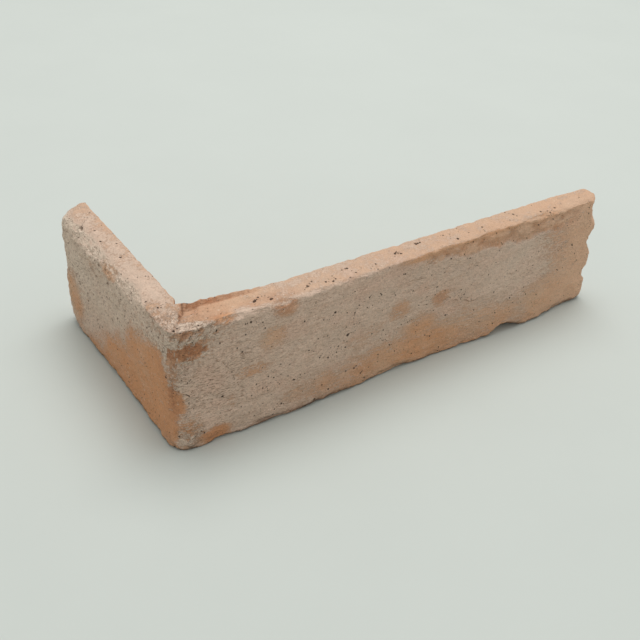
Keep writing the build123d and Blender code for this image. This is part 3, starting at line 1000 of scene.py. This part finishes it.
# %% [markdown]
# The slip stands on a plain, pale floor with a hint of green in its grey. One large square is enough for
# it, with its edges far behind the slip, and a slow, faint noise keeps it from looking printed. It is
# only a stage and no part of the slip.

# %% The floor
FLOOR_COLOUR = (0.605, 0.635, 0.595)
CLOUD_SHADE = 0.965
CLOUDS_PER_METRE = 9.0
FLOOR_HALF = 3.0

floor_mesh = bpy.data.meshes.new("floor")
sides = ((-1, -1), (1, -1), (1, 1), (-1, 1))
corners = [(east * FLOOR_HALF, north * FLOOR_HALF, 0) for east, north in sides]
floor_mesh.from_pydata(corners, [], [(0, 1, 2, 3)])
floor = bpy.data.objects.new("floor", floor_mesh)
bpy.context.collection.objects.link(floor)
paper = bpy.data.materials.new("Pale floor")
paper.use_nodes = True
paper.node_tree.nodes.clear()
p = Wires(paper.node_tree)
floor_place = p.add("ShaderNodeTexCoord", {}, {}, "Object")
clouds = p.noise(floor_place, [1 / CLOUDS_PER_METRE] * 3, detail=4.0, roughness=0.6)
cloud_colour = [value * CLOUD_SHADE for value in FLOOR_COLOUR]
tone = p.blend(clouds.step(0.3, 0.7) * 0.5, FLOOR_COLOUR, cloud_colour)
matt = p.add("ShaderNodeBsdfPrincipled", {}, {"Base Color": tone, "Roughness": 0.9}, "BSDF")
floor_output = paper.node_tree.nodes.new("ShaderNodeOutputMaterial")
paper.node_tree.links.new(matt.socket, floor_output.inputs["Surface"])
floor_mesh.materials.append(paper)
print("floor ready")

# %% [markdown]
# The light is soft and comes from above and a little behind, so that the beds are bright and the outer
# faces lie in open shade. A large area lamp gives the direction, and an even sky fills the shade. The
# Standard view transform shows the clay's colours as they were chosen, without a film's curve over them.

# %% Light
SKY = (0.97, 1.0, 0.985)
SKY_STRENGTH = 0.52
LAMP_PLACE = Vector((0.4, 0.42, 2.1))
LAMP_SIZE = 1.6
LAMP_WATTS = 32.0

scene = bpy.context.scene
scene.view_settings.view_transform = "Standard"
world = bpy.data.worlds.new("Even sky")
scene.world = world
world.use_nodes = True
background = world.node_tree.nodes["Background"]
background.inputs["Color"].default_value = (*SKY, 1.0)
background.inputs["Strength"].default_value = SKY_STRENGTH
lamp = bpy.data.lights.new("Softbox", "AREA")
lamp.shape = "SQUARE"
lamp.size = LAMP_SIZE
lamp.energy = LAMP_WATTS
softbox = bpy.data.objects.new("Softbox", lamp)
softbox.location = LAMP_PLACE
softbox.rotation_euler = (-LAMP_PLACE).to_track_quat("-Z", "Y").to_euler()
bpy.context.collection.objects.link(softbox)
print("light ready")

# %% [markdown]
# The camera's place comes from a fit of the slip's own edges: in front of the outer corner, to the left,
# looking down by about 35 degrees and turned by 3 degrees about its own axis. Its lens is given as a
# length in picture elements, which the fit gives, and is turned into millimetres for a sensor 36 mm wide.

# %% Camera
TURN = math.radians(-35.15354)
DOWN = math.radians(34.59472)
ROLL = math.radians(3.00098)
FOCAL_PIXELS = 918.18
PICTURE_PIXELS = 640
CAMERA_FROM_CORNER = Vector((-122.737, -280.114, 284.028)) * MM

away = Vector((math.sin(TURN) * math.cos(DOWN), -math.cos(TURN) * math.cos(DOWN), math.sin(DOWN)))
level = (-away).cross(Vector((0, 0, 1))).normalized()
upright = level.cross(-away)
right = level * math.cos(ROLL) + upright * math.sin(ROLL)
up = upright * math.cos(ROLL) - level * math.sin(ROLL)
camera_data = bpy.data.cameras.new("Camera")
camera_data.sensor_fit = "HORIZONTAL"
camera_data.sensor_width = 36.0
camera_data.lens = FOCAL_PIXELS / PICTURE_PIXELS * camera_data.sensor_width
camera_data.clip_start = 0.01
camera = bpy.data.objects.new("Camera", camera_data)
turned = Matrix((right, up, away)).transposed().to_4x4()
camera.matrix_world = Matrix.Translation(OUTER_CORNER + CAMERA_FROM_CORNER) @ turned
bpy.context.collection.objects.link(camera)
scene.camera = camera
print(f"camera lens {camera_data.lens:.2f} mm")
